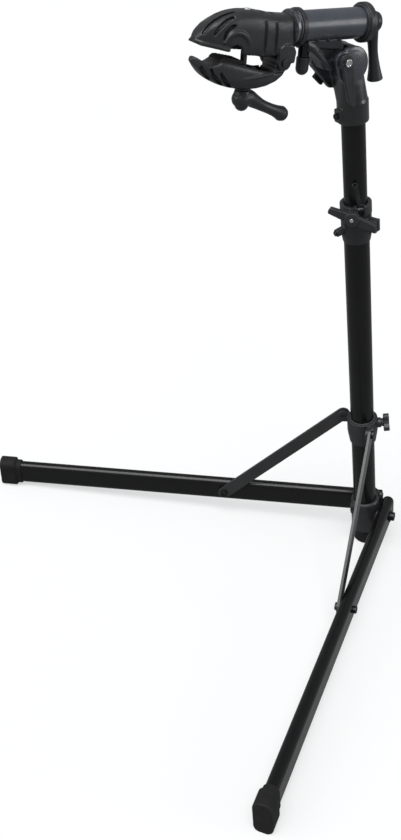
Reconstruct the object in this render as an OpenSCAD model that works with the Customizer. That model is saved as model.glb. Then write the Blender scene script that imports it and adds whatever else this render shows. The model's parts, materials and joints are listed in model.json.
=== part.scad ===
// Folding two-legged repair stand with a clamping head.
// Origin: on the floor at the middle of the mast foot. +Z up, +X the way the clamp reaches.
// The mast leans towards +X. The legs, struts and their bolts mirror across the XZ plane.

/* [Mast] */
// Lean of the mast from the vertical, in degrees
mast_lean = 11.2; // [9:0.1:12]
// Outer diameter of the lower mast tube
lower_d = 45; // [42:0.5:46]
// Outer diameter of the upper mast tube
upper_d = 40; // [38:0.5:40]
// Wall of the round tubes
tube_wall = 1.8; // [1.5:0.1:2]
// Top of the lower tube, measured along the mast
lower_top = 770; // [760:1:780]
// Length of the upper tube
upper_len = 741; // [700:1:741]

/* [Legs] */
// Height of the leg pivots, measured along the mast
pivot_s = 70; // [68:1:72]
// Angle of each leg from the clamp's direction, in degrees
leg_azimuth = 38.5; // [36:0.5:42]
// Rise of each leg above square to the mast, in degrees
leg_rise = 5.8; // [5.5:0.1:6]
// Distance of each leg's middle plane from the mast's axis
leg_offset = 41.3; // [41:0.1:43]
// Length of a leg from its pivot to the end of its foot
leg_len = 795; // [780:1:810]
// Height of the oval leg tube
leg_h = 52; // [48:0.5:54]
// Width of the oval leg tube
leg_w = 23; // [22:0.5:23]

/* [Struts and slide collar] */
// Distance of the strut bolt from the leg pivot, along the leg
strut_at = 300; // [290:1:305]
// Height of the upper strut pivots, measured along the mast
ear_s = 310; // [305:1:315]
// Distance of the upper strut pivots from the mast's axis
ear_r = 38; // [37:0.5:40]
// Width of the flat strut
strut_w = 26; // [22:1:28]
// Thickness of the flat strut
strut_t = 5; // [4:0.5:5]

/* [Head] */
// Tilt pivot, measured along the mast
tilt_s = 1036; // [1034:1:1040]
// Tilt pivot's distance in front of the mast's axis
tilt_out = 30.5; // [29:0.5:32]
// Height of the barrel's axis above the tilt pivot
barrel_rise = 51; // [50:0.5:53]
// Outer diameter of the barrel
barrel_d = 46.4; // [45:0.2:47]
// Length of the barrel
barrel_len = 112; // [108:1:114]
// Diameter of the ring that turns with the clamp
ring_d = 56; // [54:1:60]
// Length of the hanging arm of the rear handle
handle_len = 90; // [80:1:94]

/* [Clamp] */
// Width of the jaws
jaw_w = 50; // [44:1:52]
// Reach of the clamp lever from the screw's axis
lever_reach = 80; // [70:1:84]

/* [Hidden] */
$fn = 48;

// Colours
c_tube = "#17181b";
c_cast = "#26282c";
c_plastic = "#303237";
c_rubber = "#1c1c1d";
c_chrome = "#c9ccd0";
c_steel = "#6d7075";
c_barrel = "#39414b";
c_liner = "#4a4c50";

// Clearances
fit = 0.05;   // running fit, per side
gap = 0.4;    // between faces that pass each other

// Worked-out sizes
lower_r = lower_d / 2;
upper_r = upper_d / 2;
bore_r = lower_r - tube_wall;
leg_in = leg_offset - leg_w / 2;
leg_out = leg_offset + leg_w / 2;
strut_mid = leg_in - strut_t / 2 - 1.7;
strut_dr = strut_at * cos(leg_rise) - ear_r;
strut_ds = ear_s - pivot_s - strut_at * sin(leg_rise);
strut_len = sqrt(strut_dr * strut_dr + strut_ds * strut_ds);
strut_drop = atan2(strut_ds, strut_dr);
tilt_x = tilt_out * cos(mast_lean) + tilt_s * sin(mast_lean);
tilt_z = tilt_s * cos(mast_lean) - tilt_out * sin(mast_lean);
barrel_r = barrel_d / 2;
barrel_in = barrel_r - 3.2;
shaft_r = 14;
pivot_r = 5;       // leg pivot bolts
strut_pin_r = 4;   // strut bolts
tilt_r = 5;        // tilt bolt
hinge_r = 4;       // jaw hinge pin
screw_r = 5;       // clamp screw
stud_tip_r = 3.4;  // height knob's stud, inside the knob
cheek_in = 12.8;   // inner faces of the mast head's fork
cheek_out = 22;    // outer faces of the mast head's fork

// Along the barrel, measured from above the tilt pivot
barrel_x0 = -42;
barrel_x1 = barrel_x0 + barrel_len + 6;
ring_x0 = 84;
ring_x1 = 96;
hinge_x = 113;
hinge_z = -45;
screw_x = 170;
screw_z = -37;
screw_len = 138;  // from below the lever to just above the jaw's crown
plunger_x = 62;
knob_a = 148;     // collar knob's direction from the clamp's
knob_s = 771;     // height knob's stud, along the mast
handle_x = -64;

// ---- frames -------------------------------------------------------------
// Mast frame: Z runs up the mast's axis from the floor
module on_mast() rotate([0, mast_lean, 0]) children();

// Radial frame on the mast: X points out at the angle a, Z up the mast
module radial(a, s = 0) on_mast() rotate([0, 0, a]) translate([0, 0, s]) children();

// Left parts as they are, right parts mirrored
module sided(side) mirror([0, side < 0 ? 1 : 0, 0]) children();

// Leg frame: X along the leg from its pivot, Y away from the mast, Z up
module on_leg() radial(leg_azimuth, pivot_s) translate([0, leg_offset, 0])
    rotate([0, -leg_rise, 0]) children();

// Leg frame shifted to the mast's own plane, so that Y counts from the mast's axis
module on_leg_plane() on_leg() translate([0, -leg_offset, 0]) children();

// Strut frame: X along the strut from its upper pivot, Y from the mast's axis
module on_strut() radial(leg_azimuth, ear_s) translate([ear_r, 0, 0])
    rotate([0, strut_drop, 0]) children();

// Tilt frame: origin on the tilt pivot, square to the floor
module on_tilt() translate([tilt_x, 0, tilt_z]) children();

// Head frame: origin on the barrel's axis above the tilt pivot, X along the barrel
module on_head() translate([tilt_x, 0, tilt_z + barrel_rise]) children();

// Lever frame: origin on the height lever's pin, which lies along Y, with X away from the mast
module lever_axis() radial(68, 780) translate([30.4, 0, 0]) children();

// Axis of the height clamp's front lug, along X and a little downwards
module lug_axis() radial(-4, 742) rotate([0, 10, 0]) children();

// Screw frame: Z up the clamp screw
module on_screw() on_head() translate([screw_x, 0, screw_z]) children();

// ---- shapes -------------------------------------------------------------
// Round bar along X or Y
module xbar(r, x0, x1) translate([x0, 0, 0]) rotate([0, 90, 0]) cylinder(r = r, h = x1 - x0);
module ybar(r, y0, y1) translate([0, y0, 0]) rotate([-90, 0, 0]) cylinder(r = r, h = y1 - y0);

// Round tube along Z, X
module tube(ro, ri, z0, z1) difference() {
    translate([0, 0, z0]) cylinder(r = ro, h = z1 - z0);
    translate([0, 0, z0 - 1]) cylinder(r = ri, h = z1 - z0 + 2);
}
module xtube(ro, ri, x0, x1) difference() {
    xbar(ro, x0, x1);
    xbar(ri, x0 - 1, x1 + 1);
}

// Flat shape in the XZ plane, thickened from y0 to y1
module slab(y0, y1) translate([0, y1, 0]) rotate([90, 0, 0])
    linear_extrude(height = y1 - y0) children();

// Upright oval, in 2D
module oval(h, w) {
    square([h - w, w], center = true);
    for (s = [-1, 1]) translate([s * (h - w) / 2, 0]) circle(d = w);
}

// Rounded rectangle, in 2D
module soft_rect(x, y, r) {
    square([x - 2 * r, y], center = true);
    square([x, y - 2 * r], center = true);
    for (i = [-1, 1], j = [-1, 1]) translate([i * (x / 2 - r), j * (y / 2 - r)]) circle(r = r);
}

// Oval bar along the leg
module leg_bar(h, w, x0, x1) translate([x0, 0, 0]) rotate([0, 90, 0])
    linear_extrude(height = x1 - x0) oval(h, w);

// Everything below the floor
module below_floor() translate([-300, -900, -200]) cube([1300, 1800, 200]);

// Bolt head with a shallow socket, its face towards +Y at y
module bolt_head(r, h, y) difference() {
    ybar(r, y, y + h);
    translate([0, y + h - 2, 0]) rotate([-90, 0, 0]) cylinder(r = r * 0.5, h = 3, $fn = 6);
}

// ---- mast base ----------------------------------------------------------
module lower_tube() color(c_tube) on_mast() difference() {
    tube(lower_r, bore_r, 12, lower_top);
    translate([0, 0, pivot_s + 22]) xbar(2.5, 10, 40);
    rotate([0, 0, 180]) translate([0, 0, pivot_s + 22]) xbar(2.5, 10, 40);
}

module mast_foot() color(c_rubber) difference() {
    on_mast() difference() {
        translate([0, 0, -10]) cylinder(r = lower_r + 2, h = 40);
        translate([0, 0, 12]) cylinder(r = lower_r, h = 40);
        for (s = [17, 23]) difference() {
            translate([0, 0, s]) cylinder(r = lower_r + 5, h = 2);
            translate([0, 0, s - 1]) cylinder(r = lower_r + 1.2, h = 4);
        }
    }
    below_floor();
}

module foot_hub() color(c_cast) difference() {
    union() {
        on_mast() {
            translate([0, 0, pivot_s - 34]) cylinder(r = 28.4, h = 72);
            translate([0, 0, pivot_s + 38]) cylinder(r1 = 28.4, r2 = 25, h = 4);
            translate([-34, -8, pivot_s + 8]) cube([16, 16, 38]);
            translate([22, -9, pivot_s + 8]) cube([9, 18, 28]);
        }
        for (side = [1, -1]) sided(side) on_leg_plane() ybar(18, 15, leg_in - gap);
    }
    on_mast() {
        translate([0, 0, pivot_s - 60]) cylinder(r = lower_r, h = 130);
        translate([0, 0, pivot_s + 22]) xbar(2.5, 10, 60);
        rotate([0, 0, 180]) translate([0, 0, pivot_s + 22]) xbar(2.5, 10, 60);
    }
    for (side = [1, -1]) sided(side) on_leg_plane() ybar(pivot_r, 10, 60);
}

module hub_screws() color(c_steel) on_mast() for (a = [[0, 31], [180, 34]])
    rotate([0, 0, a[0]]) translate([0, 0, pivot_s + 22]) {
        xbar(2.5, 21, a[1]);
        xbar(5.5, a[1], a[1] + 3.5);
    }

module leg_pivot_bolts() color(c_steel) for (side = [1, -1]) sided(side) on_leg_plane() {
    ybar(pivot_r, lower_r + 1, leg_out + 1);
    ybar(12, leg_out + gap, leg_out + 2);
    bolt_head(9, 7, leg_out + 2);
}

module height_clamp() color(c_cast) difference() {
    union() {
        on_mast() {
            translate([0, 0, 724]) cylinder(r = 26.6, h = 38);
            translate([0, 0, 710]) cylinder(r1 = lower_r + 1.5, r2 = 26.6, h = 14);
            translate([0, 0, 762]) cylinder(r = 27.4, h = 20);
        }
        radial(45, knob_s) xbar(11, 18, 34);
        radial(110, 745) translate([20, -8, -11]) cube([23, 16, 22]);
        lug_axis() xbar(7, 18, 42);
        lever_axis() translate([-9, -9.5, -9]) cube([12, 19, 15]);
    }
    on_mast() {
        translate([0, 0, 690]) cylinder(r = lower_r + 2 * fit, h = lower_top + 3 - 690);
        translate([0, 0, 760]) cylinder(r = upper_r + 0.6, h = 40);
    }
    radial(45, knob_s) xbar(5, 10, 60);
    radial(110, 745) translate([24, -1, -20]) cube([40, 2, 40]);
    radial(110, 745) translate([35, 0, 0]) ybar(3, -12, 12);
    lug_axis() xbar(2.5, 25, 60);
    lever_axis() translate([-6.2, -5.6, -20]) cube([30, 11.2, 60]);
    lever_axis() ybar(2, -20, 20);
}

module clamp_bushing() color(c_liner) on_mast() {
    tube(bore_r, upper_r + fit, 690, lower_top);
    tube(lower_r, upper_r + fit, lower_top, lower_top + 3);
}

// The pinch bolt through the clamp's split ear, and the screw in its front lug
module clamp_screws() color(c_chrome) {
    lug_axis() {
        xbar(2.5, 28, 42);
        xbar(4.5, 42, 45);
    }
    radial(110, 745) translate([35, 0, 0]) {
        ybar(3, -8, 8);
        ybar(5, -11, -8);
        ybar(5, 8, 11);
    }
}

module lever_pin() color(c_steel) lever_axis() ybar(2, -9.5, 9.5);

module height_lever() color(c_plastic) lever_axis() difference() {
    union() {
        ybar(4.4, -5.1, 5.1);
        rotate([9, -7, 0]) {
            translate([-3, -3.3, 0]) cube([5, 6.6, 44]);
            translate([0, 0, 44]) xbar(5, -3, 2);
        }
    }
    ybar(2 + fit, -10, 10);
    rotate([9, -7, 0]) translate([0, 0, 45]) xbar(2, -10, 10);
}

// Two-winged knob whose stud lies along X
module wing_knob(x0, reach, turn) rotate([turn, 0, 0]) {
    xbar(12, x0, x0 + 13);
    for (s = [1, -1]) translate([x0 + 2, 0, 0]) rotate([0, 90, 0]) linear_extrude(height = 9)
        polygon([[-9, 0], [-5, s * reach], [3, s * (reach + 2)], [6, s * reach], [9, 0]]);
}

module height_knob() color(c_plastic) radial(45, knob_s) difference() {
    wing_knob(36.5, 41, -24);
    xbar(stud_tip_r, 30, 70);
}

module height_knob_stud() color(c_chrome) radial(45, knob_s) {
    xbar(5 - fit, lower_r + gap, 36.5);
    xbar(stud_tip_r, 36.5, 51.5);
}

// ---- legs ---------------------------------------------------------------
module leg_tube() on_leg() difference() {
    leg_bar(leg_h, leg_w, -32, leg_len - 8);
    leg_bar(leg_h - 4, leg_w - 4, -40, leg_len);
    ybar(7, -leg_w, leg_w);
    translate([strut_at, 0, 0]) ybar(strut_pin_r, -leg_w, leg_w);
}

module leg_plug() on_leg() {
    leg_bar(leg_h - 4, leg_w - 4, -32, -16);
    leg_bar(leg_h - 1.4, leg_w - 1.4, -34, -32);
    leg_bar(leg_h - 14, leg_w - 8, -36, -34);
}

module leg_bush() on_leg() difference() {
    ybar(7, -leg_w / 2, leg_w / 2);
    ybar(pivot_r + fit, -leg_w, leg_w);
}

module leg_foot() difference() {
    on_leg() difference() {
        union() {
            leg_bar(leg_h + 6, leg_w + 5, leg_len - 46, leg_len - 26);
            translate([leg_len - 34, 0, 0]) rotate([0, 90, 0])
                linear_extrude(height = 34) soft_rect(67, 33, 14);
        }
        leg_bar(leg_h, leg_w, leg_len - 60, leg_len - 8);
    }
    below_floor();
}

// The strut bolt's leg side: shank and lock nut, ending flush with the leg's inner face
module strut_nut() on_leg_plane() translate([strut_at, 0, 0]) {
    ybar(strut_pin_r, leg_in, leg_out);
    difference() {
        ybar(7, leg_out, leg_out + 6.5);
        ybar(2.5, leg_out + 5, leg_out + 8);
    }
}

module left_leg_tube() color(c_tube) leg_tube();
module left_leg_foot() color(c_rubber) leg_foot();
module left_leg_plug() color(c_plastic) leg_plug();
module left_leg_bush() color(c_steel) leg_bush();
module left_strut_nut() color(c_steel) strut_nut();
module right_leg_tube() color(c_tube) sided(-1) leg_tube();
module right_leg_foot() color(c_rubber) sided(-1) leg_foot();
module right_leg_plug() color(c_plastic) sided(-1) leg_plug();
module right_leg_bush() color(c_steel) sided(-1) leg_bush();
module right_strut_nut() color(c_steel) sided(-1) strut_nut();

// ---- slide collar and struts --------------------------------------------
ear_y1 = strut_mid - strut_t / 2 - gap;
ear_y0 = ear_y1 - 6;
collar_foot = ear_s - 44;

module slide_collar() color(c_cast) difference() {
    union() {
        on_mast() {
            translate([0, 0, ear_s - 18]) cylinder(r = 29.6, h = 28);
            translate([0, 0, collar_foot]) cylinder(r1 = 25.8, r2 = 29.6, h = ear_s - 18 - collar_foot);
        }
        for (side = [1, -1]) sided(side) radial(leg_azimuth, ear_s) {
            translate([ear_r, 0, 0]) ybar(11, ear_y0, ear_y1);
            translate([10, ear_y0, -14]) cube([ear_r - 6, ear_y1 - ear_y0, 25 - 4]);
        }
        radial(knob_a, ear_s - 6) xbar(10, 20, 36);
    }
    on_mast() translate([0, 0, ear_s - 80]) cylinder(r = lower_r + 2, h = 120);
    for (side = [1, -1]) sided(side) radial(leg_azimuth, ear_s) translate([ear_r, 0, 0])
        ybar(strut_pin_r, 0, 40);
    radial(knob_a, ear_s - 6) xbar(4, 10, 60);
}

module collar_liner() color(c_liner) on_mast() difference() {
    tube(lower_r + 2, lower_r + fit, collar_foot, ear_s + 10);
    rotate([0, 0, knob_a]) translate([0, 0, ear_s - 6]) xbar(4, 10, 60);
}

module collar_strut_bolts() color(c_steel) for (side = [1, -1]) sided(side)
    radial(leg_azimuth, ear_s) translate([ear_r, 0, 0]) {
        ybar(strut_pin_r, ear_y0, strut_mid + strut_t / 2 + 1);
        bolt_head(8, 4, strut_mid + strut_t / 2 + gap);
    }

// Three-lobed knob on a stud along X
module lobed_knob(x0, r) {
    xbar(8, x0, x0 + 4);
    for (a = [90, 210, 330]) rotate([a, 0, 0]) translate([x0 + 4, 0, 0])
        rotate([0, 90, 0]) linear_extrude(height = 11) {
            translate([0, r - 7]) circle(r = 7);
            translate([-7, 0]) square([14, r - 7]);
        }
    xbar(10, x0 + 4, x0 + 15);
}

module collar_knob() color(c_plastic) radial(knob_a, ear_s - 6) difference() {
    lobed_knob(36 + gap, 19);
    xbar(4, 30, 48);
}

module collar_knob_stud() color(c_chrome) radial(knob_a, ear_s - 6)
    xbar(4 - fit, lower_r + gap, 48);

module strut() on_strut() difference() {
    translate([strut_len / 2, 0, 0]) slab(strut_mid - strut_t / 2, strut_mid + strut_t / 2)
        oval(strut_len + strut_w, strut_w);
    ybar(strut_pin_r + fit, 0, 60);
    translate([strut_len, 0, 0]) ybar(strut_pin_r, 0, 60);
}

// The strut bolt's strut side: head and short shank, ending short of the leg
module strut_bolt() on_strut() translate([strut_len, 0, 0]) {
    ybar(strut_pin_r, strut_mid - strut_t / 2, leg_in - 0.6);
    ybar(7.5, strut_mid - strut_t / 2 - 5, strut_mid - strut_t / 2);
}

module left_strut() color(c_tube) strut();
module left_strut_bolt() color(c_steel) strut_bolt();
module right_strut() color(c_tube) sided(-1) strut();
module right_strut_bolt() color(c_steel) sided(-1) strut_bolt();

// ---- upper mast ---------------------------------------------------------
upper_top = 956;
socket_s = 926;

module upper_tube() color(c_tube) on_mast()
    tube(upper_r, upper_r - tube_wall, upper_top - upper_len, upper_top);

module slide_guide() color(c_liner) on_mast()
    tube(bore_r - 0.1, upper_r, upper_top - upper_len, upper_top - upper_len + 40);

disc_x = -20;
disc_z = -7;
lever_lean = 17;   // the tilt lever hangs back towards the mast

module mast_head() color(c_cast) difference() {
    union() {
        on_mast() translate([0, 0, socket_s]) cylinder(r = 26, h = 36);
        on_mast() translate([20, -8, socket_s + 5]) cube([12, 16, 22]);
        hull() {
            on_mast() translate([0, 0, socket_s + 27]) cylinder(r = 25, h = 6, $fn = 32);
            on_tilt() translate([disc_x, 0, disc_z]) ybar(19, -17, 17, $fn = 32);
        }
        on_tilt() {
            translate([disc_x, 0, disc_z]) ybar(28, -cheek_out, cheek_out - 4);
            translate([disc_x, 0, disc_z]) ybar(24, cheek_out - 4, cheek_out);
            ybar(14, -cheek_out, cheek_out);
            slab(-cheek_out, -cheek_in)
                polygon([[0, 14], [14, 6], [30, -8], [33, -14], [-6, -50], [-30, -50], [-40, 0]]);
            translate([14, 0, -20]) rotate([0, -40, 0]) translate([-27, -31, -5])
                cube([52, 30.4 - cheek_in, 9]);
        }
    }
    on_mast() translate([0, 0, socket_s - 10]) cylinder(r = upper_r, h = upper_top - socket_s + 10);
    on_mast() translate([0, 0, socket_s + 16]) xbar(2.5, 10, 60);
    on_tilt() {
        ybar(tilt_r, -60, 60);
        ybar(15, -cheek_in, cheek_in);
        translate([-15, -cheek_in, 0]) cube([80, 2 * cheek_in, 50]);
        translate([-4, -cheek_in, -36]) cube([70, 2 * cheek_in, 40]);
    }
}

module socket_screws() color(c_steel) on_mast() translate([0, 0, socket_s + 16]) {
    xbar(2.5, upper_r, 32);
    xbar(5, 32, 36);
}

module head_bumper() color(c_rubber) on_tilt() translate([14, 0, -20]) rotate([0, -40, 0])
    translate([-25, -30, -14.1]) cube([20, 7.8, 9]);

module tilt_bolt() color(c_chrome) on_tilt() {
    ybar(tilt_r - fit, -cheek_in, cheek_in);
    ybar(tilt_r, -cheek_out - 1, -cheek_in);
    ybar(tilt_r, cheek_in, cheek_out);
    ybar(3.9, cheek_out, cheek_out + 13);
    ybar(9, -cheek_out - 6, -cheek_out);
}

module tilt_lever() color(c_plastic) on_tilt() difference() {
    union() {
        ybar(12.5, cheek_out + gap, cheek_out + 9);
        rotate([0, lever_lean, 0]) slab(cheek_out + 2, cheek_out + 10)
            polygon([[-11, 0], [10, 0], [6, -30], [5, -66], [0, -74], [-6, -72], [-9, -40]]);
    }
    ybar(4, cheek_out - 5, cheek_out + 20);
}

module tilt_nut() color(c_chrome) on_tilt() difference() {
    ybar(6, cheek_out + 10, cheek_out + 14.5);
    ybar(4, cheek_out + 9, cheek_out + 20);
}

// ---- head ---------------------------------------------------------------
module head_bracket() color(c_barrel) difference() {
    union() {
        on_tilt() {
            ybar(14, -cheek_in + gap, cheek_in - gap);
            slab(-cheek_in + gap, cheek_in - gap)
                polygon([[-14, 0], [3, 36], [66, 36], [29, -13], [6, -12.6]]);
        }
        on_head() translate([5, -16, -34]) cube([62, 32, 22]);
    }
    on_head() xbar(barrel_r, -60, 90);
    on_tilt() ybar(tilt_r, -60, 60);
    on_head() translate([plunger_x, 0, -50]) cylinder(r = 8.5, h = 50);
}

module head_barrel() color(c_barrel) on_head() difference() {
    xtube(barrel_r, barrel_in, barrel_x0, barrel_x1);
    translate([plunger_x, 0, -50]) cylinder(r = 4.5, h = 50);
}

module barrel_collar() color(c_plastic) on_head() difference() {
    union() {
        xbar(26, barrel_x1 - 1, ring_x0 - gap);
        xbar(28, barrel_x1 + 1, ring_x0 - gap);
    }
    xbar(barrel_r, barrel_x1 - 20, barrel_x1);
    xbar(shaft_r + 1, barrel_x1 - 20, ring_x0 + 5);
}

module rear_cap() color(c_plastic) on_head() difference() {
    union() {
        xbar(30, barrel_x0 - 9, barrel_x0 + 2);
        xbar(27, barrel_x0 - 12, barrel_x0 + 5);
    }
    xbar(11, barrel_x0 - 20, barrel_x0 + 20);
    xbar(barrel_r, barrel_x0, barrel_x0 + 20);
}

module bush(x0, x1) on_head() xtube(barrel_in, shaft_r + fit, x0, x1);
module front_bush() color(c_liner) bush(barrel_x1 - 6, barrel_x1);
module rear_bush() color(c_liner) bush(barrel_x0 + 4, barrel_x0 + 26);

module plunger_housing() color(c_steel) on_head() translate([plunger_x, 0, 0]) difference() {
    union() {
        translate([0, 0, -44]) cylinder(r = 8.5, h = 44 - barrel_r - 1);
        translate([0, 0, -44]) cylinder(r = 4.5, h = 44 - barrel_in);
    }
    translate([0, 0, -60]) cylinder(r = 3 + fit, h = 60);
}

module lock_plunger() color(c_plastic) on_head() translate([plunger_x, 0, 0]) {
    translate([0, 0, -62]) cylinder(r = 3, h = 62 - shaft_r - 3 - gap);
    translate([0, 0, -62]) cylinder(r = 10, h = 17);
    translate([0, 0, -62]) sphere(r = 10);
}

module clamp_spindle() color(c_steel) on_head() {
    xbar(shaft_r, barrel_x0 + 2, barrel_x1 + 2);
    xbar(shaft_r + 3, 34, barrel_x1 - 6 - gap);
    xbar(shaft_r, barrel_x1, ring_x0 + 4);
    xbar(9.5, barrel_x0 - 10, barrel_x0 + 2);
}

module handle_stud() color(c_chrome) on_head() xbar(7, handle_x - 4, barrel_x0 - 10 - gap);

module rear_handle() color(c_plastic) on_head() difference() {
    union() {
        xbar(16, handle_x - 9, handle_x + 6);
        xbar(12, handle_x + 5, barrel_x0 - 12 - gap);
        translate([handle_x, 0, 0]) rotate([0, 14, 0]) {
            translate([0, 0, -handle_len + 8]) cylinder(r1 = 10, r2 = 8, h = handle_len - 8);
            translate([0, 0, -handle_len]) cylinder(r1 = 12, r2 = 13, h = 8);
            translate([0, 0, -handle_len + 8]) cylinder(r1 = 13, r2 = 8, h = 16);
        }
    }
    xbar(7, handle_x - 4, 0);
}

// ---- clamp --------------------------------------------------------------
module spin_ring() color(c_plastic) on_head() difference() {
    union() {
        xbar(ring_d / 2, ring_x0, ring_x0 + 9);
        xbar(ring_d / 2 - 3, ring_x0 + 9, ring_x1);
    }
    xbar(shaft_r, ring_x0 - 1, ring_x0 + 4);
}

// Plan of both jaws: wide body, blunt round nose
module jaw_plan(w) polygon([[90, -w * 0.6], [98, -w * 0.85], [112, -w], [208, -w],
    [234, -w * 0.84], [251, -w * 0.6], [261, -w * 0.3], [263, 0], [261, w * 0.3], [251, w * 0.6],
    [234, w * 0.84], [208, w], [112, w], [98, w * 0.85], [90, w * 0.6]]);

// Arched end view of both jaws, crown towards +Z
module jaw_arch(w, crown) rotate([90, 0, 90]) translate([0, 0, 80]) linear_extrude(height = 200) {
    translate([-w, -70]) square([2 * w, 70 + crown - 16]);
    translate([-w + 16, crown - 20]) square([2 * w - 32, 20]);
    for (s = [-1, 1]) translate([s * (w - 16), crown - 16]) circle(r = 16);
}

module upper_jaw() color(c_plastic) on_head() difference() {
    union() {
        intersection() {
            slab(-jaw_w / 2, jaw_w / 2) polygon([[ring_x1, 20], [115, 19], [137, 24], [160, 27.5],
                [195, 24], [216, 17], [236, 8], [254, -2], [263, -6], [242, -11.5], [216, -19],
                [206, -12], [192, -12], [178, -27], [153, -30], [140, -34], [ring_x1, -34]]);
            translate([0, 0, -60]) linear_extrude(height = 100) jaw_plan(jaw_w / 2);
            jaw_arch(jaw_w / 2, 27.5);
        }
        for (s = [-1, 1]) translate([0, s * 23, 0]) slab(-4, 4) difference() {
            union() {
                translate([hinge_x, hinge_z]) circle(r = 11);
                translate([ring_x1, hinge_z]) square([hinge_x - ring_x1 + 10.9, 30]);
            }
            translate([hinge_x - 40, hinge_z - 20]) square([22, 30]);
        }
    }
    for (x = [118, 136]) difference() {
        translate([x, -40, -70]) cube([4, 80, 110]);
        translate([x - 1, -jaw_w / 2 + 3, -70]) cube([6, jaw_w - 6, 90]);
    }
    translate([hinge_x, 0, hinge_z]) ybar(hinge_r, -40, 40);
    translate([hinge_x, 0, hinge_z]) ybar(13, -19, 19);
    for (i = [0 : 2]) translate([240 - 17 * i, 0, 14 + 5 * i]) rotate([0, -35, 0]) for (s = [-1, 1])
        translate([-8, s * 17 - 9, -4]) cube([16, 18, 3.6]);
    translate([screw_x, 0, screw_z]) {
        translate([0, 0, -30]) cylinder(r = screw_r + 1, h = 120);
        translate([0, 0, 38]) ybar(7, -30, 30);
    }
}

module upper_pad() color(c_rubber) on_head() difference() {
    translate([216, 0, -19]) rotate([0, -14, 0]) translate([2, -18, -3.2]) cube([38, 36, 3]);
    for (x = [222 : 7 : 250]) translate([x, -30, -23]) rotate([0, 45, 0]) cube([1.6, 60, 1.6]);
}

module jaw_hinge_pin() color(c_steel) on_head() translate([hinge_x, 0, hinge_z]) {
    ybar(hinge_r, -27, 27);
    ybar(6, 27, 30);
}

module screw_nut() color(c_steel) on_screw() translate([0, 0, 38]) difference() {
    ybar(7, -14, 14);
    translate([0, 0, -20]) cylinder(r = screw_r + fit, h = 40);
}

module lower_jaw() color(c_plastic) on_head() difference() {
    union() {
        intersection() {
            slab(-jaw_w / 2, jaw_w / 2) polygon([[260, -31], [247, -33], [180, -46], [172, -56],
                [124, -57], [110, -57], [112, -66], [127, -76], [153, -81.5], [193, -80],
                [221, -72], [241, -62], [258, -46], [263, -38]]);
            translate([0, 0, -100]) linear_extrude(height = 100) jaw_plan(jaw_w / 2);
            translate([0, 0, -54]) mirror([0, 0, 1]) jaw_arch(jaw_w / 2, 27.5);
        }
        translate([hinge_x, 0, hinge_z]) ybar(10, -18.6, 18.6);
        slab(-18.6, 18.6) polygon([[hinge_x - 6, -53], [hinge_x + 8, -52], [134, -62], [112, -62]]);
    }
    translate([hinge_x, 0, hinge_z]) ybar(hinge_r + fit, -40, 40);
    translate([130, -19, -70]) cube([26, 38, 30]);
    translate([164, -screw_r - 2, -100]) cube([26, 2 * screw_r + 4, 80]);
    translate([158, -screw_r - 2, -100]) cube([10, 2 * screw_r + 4, 80]);
    for (i = [0 : 2]) translate([243 - 15 * i, 0, -60 - 5 * i]) rotate([0, 35, 0]) for (s = [-1, 1])
        translate([-3, s * 20 - 7, -9]) cube([3.6, 14, 18]);
}

module lower_pad() color(c_rubber) on_head() difference() {
    translate([216, 0, -32]) rotate([0, -12, 0]) difference() {
        translate([-30, -18, -9]) cube([40, 36, 9]);
        for (x = [-26 : 7 : 8]) translate([x, -30, -1]) rotate([0, 45, 0]) cube([1.6, 60, 1.6]);
    }
    slab(-40, 40) polygon([[260, -31], [247, -33], [180, -46], [172, -56], [160, -90],
        [280, -90], [280, -31]]);
}

module saddle_washer() color(c_steel) on_screw() translate([0, 0, -48.5]) difference() {
    cylinder(r = 10, h = 3);
    translate([0, 0, -1]) cylinder(r = screw_r + fit, h = 6);
}

module clamp_screw() color(c_chrome) on_screw() translate([0, 0, -70])
    cylinder(r = screw_r, h = screw_len);

module clamp_lever() color(c_plastic) on_screw() difference() {
    union() {
        translate([0, 0, -60]) cylinder(r1 = 13, r2 = 10.5, h = 11.2);
        translate([0, 0, -75]) cylinder(r1 = 9, r2 = 13, h = 15);
        translate([0, 0, -64]) rotate([0, 20, 180]) {
            translate([0, 0, 0]) rotate([0, 90, 0]) cylinder(r1 = 9, r2 = 5.5, h = 34);
            xbar(5.5, 30, lever_reach - 14);
            translate([lever_reach - 20, 0, 0]) rotate([0, 90, 0]) cylinder(r1 = 5.5, r2 = 10.5, h = 16);
            xbar(10.5, lever_reach - 4, lever_reach + 5);
        }
    }
    translate([0, 0, -70]) cylinder(r = screw_r, h = 40);
}

lower_tube();
mast_foot();
foot_hub();
hub_screws();
leg_pivot_bolts();
height_clamp();
clamp_bushing();
clamp_screws();
lever_pin();
height_lever();
height_knob();
height_knob_stud();
left_leg_tube();
left_leg_foot();
left_leg_plug();
left_leg_bush();
left_strut_nut();
right_leg_tube();
right_leg_foot();
right_leg_plug();
right_leg_bush();
right_strut_nut();
slide_collar();
collar_liner();
collar_strut_bolts();
collar_knob();
collar_knob_stud();
left_strut();
left_strut_bolt();
right_strut();
right_strut_bolt();
upper_tube();
slide_guide();
mast_head();
socket_screws();
head_bumper();
tilt_bolt();
tilt_lever();
tilt_nut();
head_bracket();
head_barrel();
barrel_collar();
rear_cap();
front_bush();
rear_bush();
plunger_housing();
lock_plunger();
rear_handle();
handle_stud();
clamp_spindle();
spin_ring();
upper_jaw();
upper_pad();
jaw_hinge_pin();
screw_nut();
lower_jaw();
lower_pad();
saddle_washer();
clamp_screw();
clamp_lever();
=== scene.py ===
"""Folding repair stand: softened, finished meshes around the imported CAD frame."""
import json
from math import cos, pi, radians, sin

import bmesh
import bpy
from mathutils import Matrix, Vector


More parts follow.
